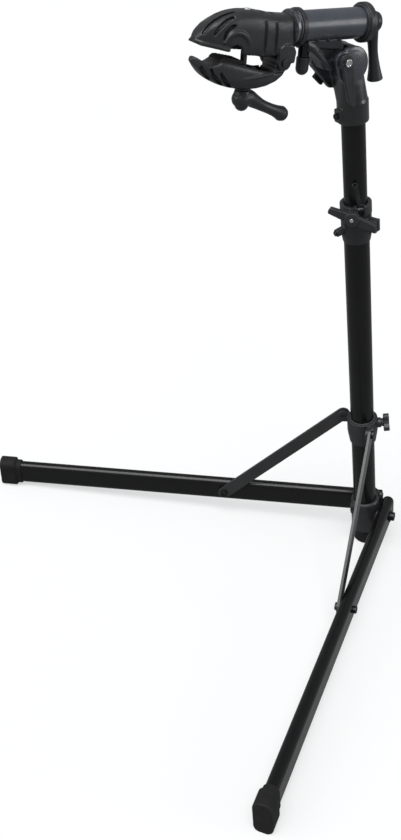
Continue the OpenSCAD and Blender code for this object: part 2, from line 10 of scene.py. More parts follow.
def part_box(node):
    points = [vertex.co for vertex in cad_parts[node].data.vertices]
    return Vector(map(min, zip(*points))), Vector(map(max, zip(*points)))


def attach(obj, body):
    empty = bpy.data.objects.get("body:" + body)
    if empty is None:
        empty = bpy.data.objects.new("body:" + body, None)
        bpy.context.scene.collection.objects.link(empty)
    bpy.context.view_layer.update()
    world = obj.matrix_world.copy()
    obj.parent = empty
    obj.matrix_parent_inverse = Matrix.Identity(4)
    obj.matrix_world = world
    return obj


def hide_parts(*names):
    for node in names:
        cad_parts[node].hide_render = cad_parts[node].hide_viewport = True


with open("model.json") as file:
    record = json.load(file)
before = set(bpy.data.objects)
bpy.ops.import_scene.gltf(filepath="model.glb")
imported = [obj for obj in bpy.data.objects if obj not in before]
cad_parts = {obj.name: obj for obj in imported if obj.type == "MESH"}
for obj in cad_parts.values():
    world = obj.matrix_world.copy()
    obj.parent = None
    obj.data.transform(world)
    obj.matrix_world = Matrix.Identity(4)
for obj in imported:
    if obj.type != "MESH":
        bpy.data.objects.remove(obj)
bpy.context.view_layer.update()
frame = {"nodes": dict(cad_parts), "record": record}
NODES = frame["nodes"]
RECORD = frame["record"]
MM = 0.001
SLOT_OF = {part["node"]: part["material_slot"] for part in RECORD["subparts"]}
BODY_OF = {node: body for body, nodes in RECORD["behaviour"]["bodies"].items() for node in nodes}
JOINT = {joint["name"]: joint for joint in RECORD["behaviour"]["joints"]}


# ---- materials ----------------------------------------------------------
class Surface:
    """A Principled material whose nodes read the row frame's own coordinates, in metres."""

    def __init__(self, name, roughness=0.5, metallic=0.0, coat=0.0, specular=0.5):
        self.material = bpy.data.materials.new(name)
        self.material.use_nodes = True
        self.nodes = self.material.node_tree.nodes
        self.links = self.material.node_tree.links
        self.shader = self.nodes["Principled BSDF"]
        self.shader.inputs["Metallic"].default_value = metallic
        self.shader.inputs["Roughness"].default_value = roughness
        self.shader.inputs["Coat Weight"].default_value = coat
        self.shader.inputs["Coat Roughness"].default_value = 0.12
        self.shader.inputs["Specular IOR Level"].default_value = specular
        self.place = self.nodes.new("ShaderNodeTexCoord").outputs["Object"]
        self.height = None

    def stretched(self, scale):
        """The coordinates, scaled by its own amount along each axis."""
        mapping = self.nodes.new("ShaderNodeMapping")
        mapping.inputs["Scale"].default_value = scale
        self.links.new(self.place, mapping.inputs["Vector"])
        return mapping.outputs["Vector"]

    def noise(self, scale, detail=4.0, stretch=None):
        """Cloudy noise between 0 and 1, with scale features to the metre."""
        node = self.nodes.new("ShaderNodeTexNoise")
        node.inputs["Scale"].default_value = scale
        node.inputs["Detail"].default_value = detail
        node.inputs["Roughness"].default_value = 0.55
        self.links.new(self.stretched(stretch) if stretch else self.place, node.inputs["Vector"])
        return node.outputs["Fac"]

    def cells(self, scale):
        """Distance to the nearest of many scattered points, scale of them to the metre."""
        node = self.nodes.new("ShaderNodeTexVoronoi")
        node.inputs["Scale"].default_value = scale
        self.links.new(self.place, node.inputs["Vector"])
        return node.outputs["Distance"]

    def band(self, value, low, high, out_low=0.0, out_high=1.0):
        """Maps low to high onto out_low to out_high, and holds it there outside them."""
        node = self.nodes.new("ShaderNodeMapRange")
        self.links.new(value, node.inputs["Value"])
        for key, number in (("From Min", low), ("From Max", high),
                            ("To Min", out_low), ("To Max", out_high)):
            node.inputs[key].default_value = number
        return node.outputs["Result"]

    def edges(self, low, high):
        """1 on worn convex edges, 0 elsewhere."""
        node = self.nodes.new("ShaderNodeNewGeometry")
        return self.band(node.outputs["Pointiness"], low, high)

    def painted_crease_shade(self):
        """1 in tight hollows, where painted shade goes, 0 elsewhere."""
        node = self.nodes.new("ShaderNodeNewGeometry")
        return self.band(node.outputs["Pointiness"], 0.485, 0.43)

    def level(self, low, high):
        """Rises from 0 to 1 between two heights in metres."""
        node = self.nodes.new("ShaderNodeSeparateXYZ")
        self.links.new(self.place, node.inputs["Vector"])
        return self.band(node.outputs["Z"], low, high)

    def product(self, one, other):
        """Two values multiplied."""
        node = self.nodes.new("ShaderNodeMath")
        node.operation = "MULTIPLY"
        self.links.new(one, node.inputs[0])
        self.links.new(other, node.inputs[1])
        return node.outputs[0]

    def mix(self, factor, low, high):
        """Blends low into high, each a plain colour or another node's output."""
        node = self.nodes.new("ShaderNodeMix")
        node.data_type = "RGBA"
        self.links.new(factor, node.inputs["Factor"])
        for socket, colour in ((node.inputs["A"], low), (node.inputs["B"], high)):
            if isinstance(colour, tuple):
                socket.default_value = (*colour, 1.0)
            else:
                self.links.new(colour, socket)
        return node.outputs["Result"]

    def colour(self, output):
        self.links.new(output, self.shader.inputs["Base Color"])

    def roughness(self, output):
        self.links.new(output, self.shader.inputs["Roughness"])

    def bump(self, value, depth):
        """Adds a bump layer whose full height is depth, in metres."""
        node = self.nodes.new("ShaderNodeBump")
        node.inputs["Strength"].default_value = 1.0
        node.inputs["Distance"].default_value = depth
        self.links.new(value, node.inputs["Height"])
        if self.height is not None:
            self.links.new(self.height, node.inputs["Normal"])
        self.height = node.outputs["Normal"]
        self.links.new(self.height, self.shader.inputs["Normal"])


def paint(name, dark, light, worn, roughness, coat, specular, below=None):
    """Sprayed or powder-coated metal: orange peel, faint mottling, rubbed edges.

    below is (height in metres, colour): the part under that height has that colour."""
    peel = 0.000008
    s = Surface(name, roughness=roughness, coat=coat, specular=specular)
    body = s.mix(s.band(s.noise(22.0), 0.35, 0.7), dark, light)
    if below:
        body = s.mix(s.level(below[0] - 0.004, below[0] + 0.004), below[1], body)
    wear = s.product(s.edges(0.62, 0.74), s.band(s.noise(160.0), 0.5, 0.64))
    s.colour(s.mix(wear, body, worn))
    s.roughness(s.band(s.noise(70.0, 6.0), 0.3, 0.75, roughness * 0.82, roughness * 1.25))
    s.bump(s.noise(900.0, 2.0), peel)
    s.bump(s.noise(2600.0, 1.0), peel * 0.4)
    return s.material


def moulded(name, dark, light, worn, roughness, grain, depth):
    """Moulded plastic: a fine spark-eroded grain, slight clouding, polished corners, and painted
    shade in its creases.
    """
    s = Surface(name, roughness=roughness, specular=0.42)
    body = s.mix(s.band(s.noise(38.0, 5.0), 0.3, 0.72), dark, light)
    # painted shade: the colour darkens to near black in tight creases and hollows
    body = s.mix(s.painted_crease_shade(), body, (0.0012, 0.0012, 0.0013))
    s.colour(s.mix(s.product(s.edges(0.52, 0.6), s.band(s.noise(210.0), 0.4, 0.66)), body, worn))
    s.roughness(s.band(s.noise(110.0, 5.0), 0.3, 0.75, roughness * 0.85, roughness * 1.18))
    s.bump(s.cells(grain), depth)
    s.bump(s.noise(grain * 0.35, 3.0), depth * 0.8)
    return s.material


def rubber(name, dark, light):
    """Matte rubber with dust in its fine pores and scuffed corners."""
    s = Surface(name, roughness=0.78, specular=0.3)
    body = s.mix(s.band(s.noise(55.0, 6.0), 0.35, 0.75), dark, light)
    s.colour(s.mix(s.product(s.edges(0.52, 0.6), s.noise(140.0)), body, (0.09, 0.088, 0.085)))
    s.roughness(s.band(s.noise(90.0), 0.3, 0.7, 0.68, 0.88))
    s.bump(s.noise(1100.0, 3.0), 0.00008)
    s.bump(s.noise(60.0, 3.0), 0.00025)
    return s.material


def metal(name, dark, light, roughness, lines, painted_highlight_above=None):
    """Plated or turned steel: fine lines along one direction and faint stains.

    Above the given height, in metres, the colour is painted bright as a highlight."""
    s = Surface(name, roughness=roughness, metallic=1.0)
    body = s.mix(s.band(s.noise(45.0, 5.0), 0.35, 0.7), dark, light)
    # painted highlight: above that height the colour turns near white
    if painted_highlight_above:
        body = s.mix(s.level(painted_highlight_above, painted_highlight_above + 0.001), body, (0.75, 0.76, 0.78))
    s.colour(body)
    turned = s.noise(60.0, 3.0, stretch=lines)
    s.roughness(s.band(turned, 0.3, 0.7, roughness * 0.8, roughness * 1.3))
    s.bump(turned, 0.00003)
    return s.material


MATERIALS = {
    "tube_paint": paint("gloss_black_coat", (0.0028, 0.0029, 0.0033), (0.0045, 0.0046, 0.005),
                        (0.03, 0.031, 0.034), 0.24, 0.12, 0.3),
    "barrel_paint": paint("blue_grey_coat", (0.036, 0.043, 0.054), (0.05, 0.058, 0.07),
                          (0.16, 0.17, 0.18), 0.33, 0.3, 0.6),
    "moulded_plastic": moulded("charcoal_plastic", (0.017, 0.0174, 0.0195), (0.026, 0.0265, 0.0295),
                               (0.1, 0.1, 0.107), 0.36, 2600.0, 0.00004),
    "bearing_plastic": moulded("bearing_plastic", (0.05, 0.05, 0.053), (0.075, 0.075, 0.08),
                               (0.13, 0.13, 0.13), 0.5, 2200.0, 0.00004),
    "foot_rubber": rubber("black_rubber", (0.006, 0.006, 0.0064), (0.011, 0.0108, 0.0105)),
    "bright_steel": metal("bright_plating", (0.6, 0.61, 0.63), (0.78, 0.79, 0.8), 0.17, (1, 1, 30)),
    "dark_steel": metal("blackened_steel", (0.03, 0.031, 0.034), (0.07, 0.071, 0.075), 0.36,
                        (1, 1, 24)),
}
TILT = Vector(JOINT["head_tilt"]["pos_m"])
HEAD = Vector(JOINT["clamp_spin"]["pos_m"])
SCREW = Vector(JOINT["screw_turn"]["pos_m"])
# the ring's neck: satin metal whose lighter colour is partly a painted highlight
RING_NECK_HIGHLIGHT_FINISH = metal("satin_ring_painted_highlight", (0.16, 0.165, 0.18), (0.24, 0.245, 0.26), 0.3, (24, 1, 1))
# the screw's top carries a painted highlight
SCREW_FINISH = metal("screw_steel", (0.05, 0.051, 0.055), (0.1, 0.101, 0.106), 0.3, (1, 1, 24),
                     painted_highlight_above=SCREW.z + 0.061)
MAST_HEAD_FINISH = paint("mast_head_coat", (0.03, 0.036, 0.046), (0.042, 0.05, 0.06),
                         (0.15, 0.16, 0.17), 0.3, 0.4, 0.6,
                         below=(TILT.z - 0.037, (0.005, 0.0055, 0.0065)))
STRUT_FINISH = paint("strut_coat", (0.018, 0.0182, 0.0195), (0.026, 0.0262, 0.0275),
                     (0.09, 0.09, 0.095), 0.3, 0.15, 0.5)
BRACKET_FINISH = paint("bracket_coat", (0.009, 0.011, 0.0145), (0.014, 0.0165, 0.021),
                       (0.09, 0.1, 0.11), 0.36, 0.15, 0.4)


# ---- mesh tools ---------------------------------------------------------
def apply_modifiers(piece):
    """Replaces a piece's mesh with what its modifiers make of it."""
    graph = bpy.context.evaluated_depsgraph_get()
    mesh = bpy.data.meshes.new_from_object(piece.evaluated_get(graph))
    piece.modifiers.clear()
    old = piece.data
    piece.data = mesh
    bpy.data.meshes.remove(old)


def shade(piece, sharp_angle):
    """Smooth shading that stays crisp across edges sharper than sharp_angle."""
    mesh = piece.data
    work = bmesh.new()
    work.from_mesh(mesh)
    for face in work.faces:
        face.smooth = True
    for edge in work.edges:
        edge.smooth = not (edge.is_manifold and edge.calc_face_angle(0.0) > sharp_angle)
    work.to_mesh(mesh)
    work.free()


def copied(node):
    """A new piece with a CAD node's mesh, welded and with its flat faces joined up."""
    mesh = NODES[node].data.copy()
    mesh.materials.clear()
    work = bmesh.new()
    work.from_mesh(mesh)
    bmesh.ops.remove_doubles(work, verts=work.verts, dist=2e-6)
    bmesh.ops.dissolve_limit(work, angle_limit=radians(0.4), verts=work.verts, edges=work.edges)
    work.to_mesh(mesh)
    work.free()
    piece = bpy.data.objects.new(node + "_finished", mesh)
    bpy.context.scene.collection.objects.link(piece)
    return piece


def new_piece(name, work):
    """A new piece from a bmesh, with its faces turned outwards."""
    mesh = bpy.data.meshes.new(name)
    bmesh.ops.recalc_face_normals(work, faces=work.faces)
    work.to_mesh(mesh)
    work.free()
    piece = bpy.data.objects.new(name, mesh)
    bpy.context.scene.collection.objects.link(piece)
    return piece


def skin_rings(work, rings):
    """Closes a row of equal rings of points, in metres, into one solid."""
    loops = [[work.verts.new(point) for point in ring] for ring in rings]
    for one, other in zip(loops, loops[1:]):
        for i in range(len(one)):
            j = (i + 1) % len(one)
            work.faces.new((one[i], one[j], other[j], other[i]))
    work.faces.new(list(reversed(loops[0])))
    work.faces.new(loops[-1])


def smooth_path(points, radii):
    """Catmull-Rom points and radii between the ones given."""
    steps = 6
    rows = [Vector((*point, radius)) for point, radius in zip(points, radii)]
    rows = [rows[0]] + rows + [rows[-1]]
    out = []
    for a, b, c, d in zip(rows, rows[1:], rows[2:], rows[3:]):
        for k in range(steps):
            t = k / steps
            out.append(0.5 * (2 * b + (c - a) * t + (2 * a - 5 * b + 4 * c - d) * t * t
                              + (3 * b - a - 3 * c + d) * t ** 3))
    return out + [rows[-1]]


def rod(work, points, radii, origin, sides=20, round_ends=True):
    """Sweeps a round bar of changing radius through points given in mm from origin."""
    path = smooth_path(points, radii)
    centres = [Vector(row[:3]) for row in path]
    rings = []
    up = Vector((0.13, 0.21, 0.97))
    for i, centre in enumerate(centres):
        ahead = centres[min(i + 1, len(centres) - 1)] - centres[max(i - 1, 0)]
        side = ahead.cross(up).normalized()
        top = side.cross(ahead).normalized()
        radius = path[i][3]
        ring = [(side * cos(2 * pi * k / sides) + top * sin(2 * pi * k / sides)) * radius
                for k in range(sides)]
        caps = [(0.0, 1.0)]
        if round_ends and i in (0, len(centres) - 1):
            caps = [(sin(a) * (-1 if i == 0 else 1), cos(a)) for a in (1.35, 1.0, 0.6, 0.0)]
            caps = caps if i == 0 else caps[::-1]
        for along, shrink in caps:
            shift = centre + ahead.normalized() * along * radius
            rings.append([origin + (shift + v * shrink) * MM for v in ring])
    skin_rings(work, rings)


def joined(piece, build):
    """Adds the closed solids that build makes to a piece; a voxel remesh then fuses them."""
    work = bmesh.new()
    work.from_mesh(piece.data)
    build(work)
    bmesh.ops.recalc_face_normals(work, faces=work.faces)
    work.to_mesh(piece.data)
    work.free()


def cut(piece, build):
    """Takes the solids that build makes away from a piece."""
    work = bmesh.new()
    build(work)
    tool = new_piece("cutter", work)
    modifier = piece.modifiers.new("cut", "BOOLEAN")
    modifier.operation = "DIFFERENCE"
    modifier.solver = "EXACT"
    modifier.use_self = True
    modifier.object = tool
    apply_modifiers(piece)
    bpy.data.objects.remove(tool)


def block(work, low, high, origin):
    """A box between two corners in mm from origin, used only to cut or to be melted in."""
    centre = (Vector(low) + Vector(high)) / 2
    size = Vector(high) - Vector(low)
    where = Matrix.Translation(origin + centre * MM) @ Matrix.Diagonal((*(size * MM), 1.0))
    bmesh.ops.create_cube(work, size=1.0, matrix=where)


def prism(work, outline, y0, y1, origin):
    """A flat outline of (x, z) points in mm, thickened from y0 to y1."""
    skin_rings(work, [[origin + Vector((x, y, z)) * MM for x, z in outline] for y in (y0, y1)])


def barrel_shape(work, centre, radii, origin, axis="Y"):
    """A round bar across the jaws, or a flattened ball where radii has three values."""
    where = Matrix.Translation(origin + Vector(centre) * MM)
    if len(radii) == 3:
        scale = Matrix.Diagonal((*(Vector(radii) * MM), 1.0))
        bmesh.ops.create_icosphere(work, subdivisions=4, radius=1.0, matrix=where @ scale)
        return
    turn = Matrix.Rotation(pi / 2, 4, "X") if axis == "Y" else Matrix.Identity(4)
    bmesh.ops.create_cone(work, cap_ends=True, segments=64, radius1=radii[0] * MM,
                          radius2=radii[0] * MM, depth=radii[1] * MM, matrix=where @ turn)


def melted(piece, voxel, rounds, keep):
    """Remeshes a piece on a grid of voxel mm, smooths it and keeps that share of its faces."""
    remesh = piece.modifiers.new("grid", "REMESH")
    remesh.mode = "VOXEL"
    remesh.voxel_size = voxel * MM
    melt = piece.modifiers.new("melt", "SMOOTH")
    melt.factor = 0.5
    melt.iterations = rounds
    thin = piece.modifiers.new("thin", "DECIMATE")
    thin.ratio = keep
    apply_modifiers(piece)
    shade(piece, radians(50))
    return piece


def settle(piece, node, material=None):
    """Gives a finished piece its material and its body, and hides the CAD node it stands for."""
    piece.data.materials.clear()
    piece.data.materials.append(material or MATERIALS[SLOT_OF[node]])
    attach(piece, BODY_OF[node])
    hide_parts(node)
    return piece


def machined(node, edge, material=None):
    """A turned, bent or cut part: its own mesh with every corner broken by edge millimetres."""
    piece = copied(node)
    bevel = piece.modifiers.new("edges", "BEVEL")
    bevel.width = edge * MM
    bevel.segments = 3
    bevel.limit_method = "ANGLE"
    bevel.angle_limit = radians(32)
    bevel.use_clamp_overlap = True
    apply_modifiers(piece)
    shade(piece, radians(28))
    weighted = piece.modifiers.new("normals", "WEIGHTED_NORMAL")
    weighted.keep_sharp = True
    apply_modifiers(piece)
    return settle(piece, node, material)


def cast(node, voxel, rounds, add=None, material=None):
    """A moulded or cast part: remeshed finely, its corners melted into soft radii."""
    piece = copied(node)
    if add:
        joined(piece, add)
    melted(piece, voxel, rounds, 0.5)
    return settle(piece, node, material)


# ---- the camera, which stands where the photograph was taken ------------
CAMERA_PLACE = Vector((1.309, 1.379, 1.396))
CAMERA_HEADING = radians(237.65)   # the way it looks, from +X towards +Y
CAMERA_PITCH = radians(31.27)      # below the horizon
CAMERA_ROLL = radians(-3.69)
LENS = 46.6


def make_camera():
    """The photograph's camera, as solved from the stand's straight edges."""
    forward = Vector((cos(CAMERA_HEADING) * cos(CAMERA_PITCH),
                      sin(CAMERA_HEADING) * cos(CAMERA_PITCH), -sin(CAMERA_PITCH)))
    turn = forward.to_track_quat("-Z", "Y").to_matrix()
    roll = Matrix.Rotation(CAMERA_ROLL, 3, forward)
    data = bpy.data.cameras.new("camera")
    data.lens = LENS
    data.sensor_width = 36.0
    data.clip_start = 0.05
    camera = bpy.data.objects.new("camera", data)
    camera.matrix_world = Matrix.Translation(CAMERA_PLACE) @ (roll @ turn).to_4x4()
    bpy.context.scene.collection.objects.link(camera)
    bpy.context.scene.camera = camera


make_camera()

# ---- pieces -------------------------------------------------------------
# How far each part's corners are broken, in mm
TURNED = {
    "lower_tube": 0.5, "upper_tube": 0.5, "left_leg_tube": 0.8, "right_leg_tube": 0.8,
    "hub_screws": 0.6, "leg_pivot_bolts": 0.8,
    "clamp_screws": 0.5, "lever_pin": 0.3, "height_knob_stud": 0.6, "collar_strut_bolts": 0.6,
    "collar_knob_stud": 0.5, "left_strut_bolt": 0.7, "right_strut_bolt": 0.7,
    "left_strut_nut": 0.6, "right_strut_nut": 0.6, "left_leg_bush": 0.3, "right_leg_bush": 0.3,
    "clamp_bushing": 0.4, "collar_liner": 0.4, "slide_guide": 0.4, "socket_screws": 0.5,
    "tilt_bolt": 0.6, "tilt_nut": 0.6, "head_barrel": 0.6, "barrel_collar": 1.0,
    "rear_cap": 1.6, "front_bush": 0.3, "rear_bush": 0.3,
    "plunger_housing": 0.5, "handle_stud": 0.4, "clamp_spindle": 0.5, "jaw_hinge_pin": 0.5,
    "screw_nut": 0.4, "saddle_washer": 0.4, "left_leg_plug": 0.8,
    "right_leg_plug": 0.8, "upper_pad": 0.4,
}
# The grid each casting is remeshed on, in mm, and its rounds of smoothing
CAST = {
    "mast_foot": (0.9, 3), "foot_hub": (0.9, 4), "height_clamp": (0.8, 4),
    "height_lever": (0.5, 3), "height_knob": (0.7, 6), "left_leg_foot": (1.0, 22),
    "right_leg_foot": (1.0, 22), "slide_collar": (0.8, 4), "collar_knob": (0.6, 5),
    "head_bumper": (0.5, 3), "lock_plunger": (0.6, 3),
}
for name, edge in TURNED.items():
    machined(name, edge)
machined("clamp_screw", 0.9, material=SCREW_FINISH)
for name in ("left_strut", "right_strut"):
    machined(name, 1.1, material=STRUT_FINISH)
for name, (voxel, rounds) in CAST.items():
    cast(name, voxel, rounds)

# ---- mast head: domed sides over the knuckle ----------------------------
KNUCKLE = (-21.0, -8.0)      # centre of the knuckle, x and z from the tilt pivot


def domes(work):
    """A shallow dome and a raised rim on both sides of the knuckle."""
    for side in (1, -1):
        barrel_shape(work, (KNUCKLE[0], side * 18.6, KNUCKLE[1]), (29.4, 5.2, 29.4), TILT)
        rim = [(KNUCKLE[0] + 27 * cos(a), side * 18.6, KNUCKLE[1] + 27 * sin(a))
               for a in (radians(d) for d in range(-60, 241, 20))]
        rod(work, rim, [2.6] * len(rim), TILT)


cast("mast_head", 0.9, 14, add=domes, material=MAST_HEAD_FINISH)

# ---- jaws: lofted shells with slots, lips and a notch -------------------
# Stations along the barrel's axis: x, top, bottom, half width, in mm from the head's origin
UPPER_JAW = [(92, 19, -30, 17), (98, 20.5, -34, 21.5), (112, 21.5, -36, 24.4),
             (131, 23.5, -36.5, 25), (150, 27.5, -36, 25.3), (165, 30, -34, 25.3),
             (185, 31, -32, 25), (197, 30, -27, 24.6), (206, 28.4, -24.5, 24.2),
             (216, 25.6, -21.8, 23.2), (230, 20, -18, 20.8), (242, 14.2, -15.2, 18),
             (250, 7.6, -12.8, 14.6), (255.5, 1.4, -11, 10.6), (258.6, -3.2, -9.6, 6.4)]
LOWER_JAW = [(106, -52, -61, 18), (112, -54, -67, 22), (124, -56, -74.5, 24.6),
             (139, -56, -80, 25), (154, -52, -82.5, 25), (168, -48, -82.8, 25),
             (185, -43.5, -81, 25), (200, -39.5, -78, 24.4), (212, -36.6, -74.4, 23.3),
             (219, -36.2, -71.8, 22.4), (226, -39.6, -68.6, 21.2), (233, -41.6, -65, 19.8),
             (240, -40, -60.4, 18), (247, -35.6, -54.8, 15), (253, -31.8, -48.6, 11.6),
             (258, -30.6, -43, 8), (261, -31.6, -39.4, 5), (263, -33.6, -37, 3)]
# The upper jaw's hinge lugs, then the tube notch and the hinge, as x and z
LUG = [(96, -46), (94, -30), (98, -22), (106, -19), (116, -19), (122, -23), (124, -32), (123, -46)]
NOTCH = (198.0, -25.0)
HINGE = (113.0, -45.0)
LEVER_LEAN = radians(17)     # how far the tilt lever leans back
# Powers of the cross-sections, above and below the middle: rounder towards the outside
UPPER_POWERS = (2.9, 5.5)
LOWER_POWERS = (5.5, 2.9)
# Curved slots: start and end as x in mm and degrees round the cross-section, how much of the
# turn is gathered at the start, and the half width in mm
SHOULDER_SLOTS = [((249, 26), (196, 77), 5.0, 3.0),
                  ((234, 2), (204, 48), 1.75, 3.2),
                  ((219, -2), (203, 15), 1.5, 3.2)]
BELLY_SLOTS = [((250, -4), (232, -72), 1.25, 3.0),
               ((236, 5), (215, -62), 1.0, 3.2),
               ((221, 0), (199, -62), 1.0, 3.2)]
SLOT_STEPS = 10


def section(station, angle, high, low):
    """A point of a jaw's cross-section: rounder above the middle (power high) than below it."""
    x, top, bottom, half = station
    power = high if sin(angle) > 0 else low
    across = abs(cos(angle)) ** (2 / power) * (1 if cos(angle) > 0 else -1)
    along = abs(sin(angle)) ** (2 / power) * (1 if sin(angle) > 0 else -1)
    return Vector((x, across * half, (top + bottom) / 2 + along * (top - bottom) / 2))


def between(stations, x):
    """The station at x, read off the straight lines between the ones given."""
    for a, b in zip(stations, stations[1:]):
        if a[0] <= x <= b[0]:
            t = (x - a[0]) / (b[0] - a[0])
            return tuple(one + (other - one) * t for one, other in zip(a, b))
    return stations[-1]


def loft(work, stations, powers):
    """The solid through all of a jaw's stations."""
    sides, slices = 56, 64
    first, last = stations[0][0], stations[-1][0]
    rings = []
    for k in range(slices + 1):
        station = between(stations, first + (last - first) * k / slices)
        rings.append([HEAD + section(station, 2 * pi * i / sides, *powers) * MM
                      for i in range(sides)])
    skin_rings(work, rings)


def groove(work, stations, powers, slot):
    """A deep slot's cutters, on both sides, that follow the jaw's own surface."""
    (x0, angle0), (x1, angle1), bend, radius = slot
    for side in (1, -1):
        path, floor, widths = [], [], []
        for k in range(SLOT_STEPS + 1):
            t = k / SLOT_STEPS
            station = between(stations, x0 + (x1 - x0) * t)
            angle = angle1 - (angle1 - angle0) * (1 - t) ** bend
            point = section(station, radians(angle), *powers)
            point.y *= side
            inwards = Vector((0, -point.y, (station[1] + station[2]) / 2 - point.z))
            path.append(point)
            floor.append(point + inwards.normalized() * radius)
            widths.append(radius * min(1.0, 0.8 + t, 1.75 - t))
        rod(work, path, widths, HEAD, 14)
        rod(work, floor, widths, HEAD, 14)


def upper_jaw():
    """The fixed jaw: a slotted shell with hinge lugs, a brow over the notch and two lips."""
    work = bmesh.new()
    loft(work, UPPER_JAW, UPPER_POWERS)
    for side in (1, -1):
        low, high = sorted((side * 19, side * 27))
        prism(work, LUG, low, high, HEAD)
        barrel_shape(work, (HINGE[0], side * 23, HINGE[1]), (11, 8), HEAD)
    piece = new_piece("upper_jaw_shell", work)

    def holes(tool):
        barrel_shape(tool, (NOTCH[0], 0, NOTCH[1]), (11.5, 80), HEAD)
        barrel_shape(tool, (170, 0, 0), (6, 130), HEAD, axis="Z")
        block(tool, (152, -20, -60), (190, 20, -8), HEAD)
        block(tool, (161, -15, -9), (179, 15, 10), HEAD)
        barrel_shape(tool, (HINGE[0], 0, HINGE[1]), (13, 38), HEAD)
        for x in (129, 148):
            for side in (1, -1):
                block(tool, (x, side * 25 - 3.4, -60), (x + 5, side * 25 + 3.4, 40), HEAD)
            block(tool, (x, -20, 20.5 if x < 140 else 24), (x + 5, 20, 40), HEAD)
        for slot in SHOULDER_SLOTS:
            groove(tool, UPPER_JAW, UPPER_POWERS, slot)

    melted(piece, 0.9, 2, 1.0)
    cut(piece, holes)

    def ridges(tool):
        for side in (1, -1):
            brow = [(NOTCH[0] + 1 + 21 * cos(a), side * 23.9, NOTCH[1] + 8 + 20 * sin(a))
                    for a in (radians(d) for d in (22, 46, 70, 94, 118, 142, 166, 190))]
            rod(tool, brow, [2.2, 3.2, 3.7, 3.9, 3.9, 3.7, 3.2, 2.2], HEAD)
            lip = []
            for x in (211, 220, 232, 243, 252, 258):
                half, bottom = between(UPPER_JAW, x)[3], between(UPPER_JAW, x)[2]
                lip.append((x, side * (half - 1.0), bottom + 2.8))
            rod(tool, lip, [2.8, 3.1, 3.1, 2.9, 2.6, 2.2], HEAD)

    joined(piece, ridges)
    melted(piece, 0.75, 3, 0.5)
    settle(piece, "upper_jaw")


def lower_jaw():
    """The jaw that opens: a slotted shell, its hinge knuckle and a raised line on each side."""
    work = bmesh.new()
    loft(work, LOWER_JAW, LOWER_POWERS)
    piece = new_piece("lower_jaw_shell", work)

    def holes(tool):
        block(tool, (127, -19.5, -72), (157, 19.5, -30), HEAD)
        block(tool, (160, -19.5, -66), (176, 19.5, -30), HEAD)
        block(tool, (158, -7, -100), (190, 7, -20), HEAD)
        block(tool, (90, 18.6, -60), (128, 30, -30), HEAD)
        block(tool, (90, -30, -60), (128, -18.6, -30), HEAD)
        for slot in BELLY_SLOTS:
            groove(tool, LOWER_JAW, LOWER_POWERS, slot)

    melted(piece, 0.9, 2, 1.0)
    cut(piece, holes)

    def knuckle(tool):
        barrel_shape(tool, (HINGE[0], 0, HINGE[1]), (10, 37), HEAD)
        block(tool, (106, -18.5, -60), (124, 18.5, -50), HEAD)
        for side in (1, -1):
            crease = [(186, side * 24.2, -64), (170, side * 24.8, -63), (150, side * 24.8, -61),
                      (132, side * 24.4, -59)]
            rod(tool, crease, [0.8, 1.8, 2.0, 1.2], HEAD)

    joined(piece, knuckle)
    cut(piece, lambda tool: barrel_shape(tool, (HINGE[0], 0, HINGE[1]), (4.4, 80), HEAD))
    melted(piece, 0.75, 3, 0.5)
    settle(piece, "lower_jaw")


def lower_pad():
    """The lower jaw's rubber pad: a ribbed tongue with a rounded nose, sunk into the jaw."""
    work = bmesh.new()
    top = [(221, -39.5), (219.5, -35.4), (215, -32.4), (210, -32.6)]
    for k in range(5):
        x, z = 206 - 5.5 * k, -33.3 - 1.2 * k
        top += [(x, z), (x - 1.2, z - 1.8), (x - 2.4, z - 0.5)]
    prism(work, top + [(180, -40), (180, -43.5), (200, -41.5), (220, -39.5)], -17.5, 17.5, HEAD)
    piece = new_piece("lower_pad_rubber", work)
    melted(piece, 0.6, 3, 0.5)
    settle(piece, "lower_pad")


def clamp_lever():
    """One smooth casting: a slanted boss that flows into the drooping arm and its round end."""
    work = bmesh.new()
    rod(work, [(-2, 0, -49.2), (-2, 0, -56), (-1.5, 0, -63), (-2, 0, -69)],
        [12, 13.2, 13.2, 11.5], SCREW)
    rod(work, [(0, 0, -62), (-12, 0, -61), (-24, 0, -67), (-38, 0, -74.5), (-54, 0, -81.5),
               (-66, 0, -86.5), (-76, 0, -91)], [14, 13, 11, 9, 8.6, 9.6, 12], SCREW)
    piece = new_piece("clamp_lever_casting", work)
    cut(piece, lambda tool: block(tool, (-30, -30, -49.0), (30, 30, -20), SCREW))
    melted(piece, 0.7, 8, 0.5)
    settle(piece, "clamp_lever")


def rear_handle():
    """A hub on the barrel's end that flows into the hanging arm and its thick end."""
    work = bmesh.new()
    rod(work, [(-73.5, 0, 0), (-66, 0, 0), (-58, 0, 0), (-55, 0, 0)], [14.5, 16, 14, 12], HEAD,
        round_ends=False)
    arm = [(-64, 0, -4), (-68.5, 0, -24), (-74, 0, -48), (-80, 0, -70), (-85, 0, -90)]
    rod(work, arm, [11.5, 9, 7.8, 9.4, 13], HEAD, round_ends=False)
    piece = new_piece("rear_handle_casting", work)
    melted(piece, 0.8, 8, 0.5)
    settle(piece, "rear_handle")


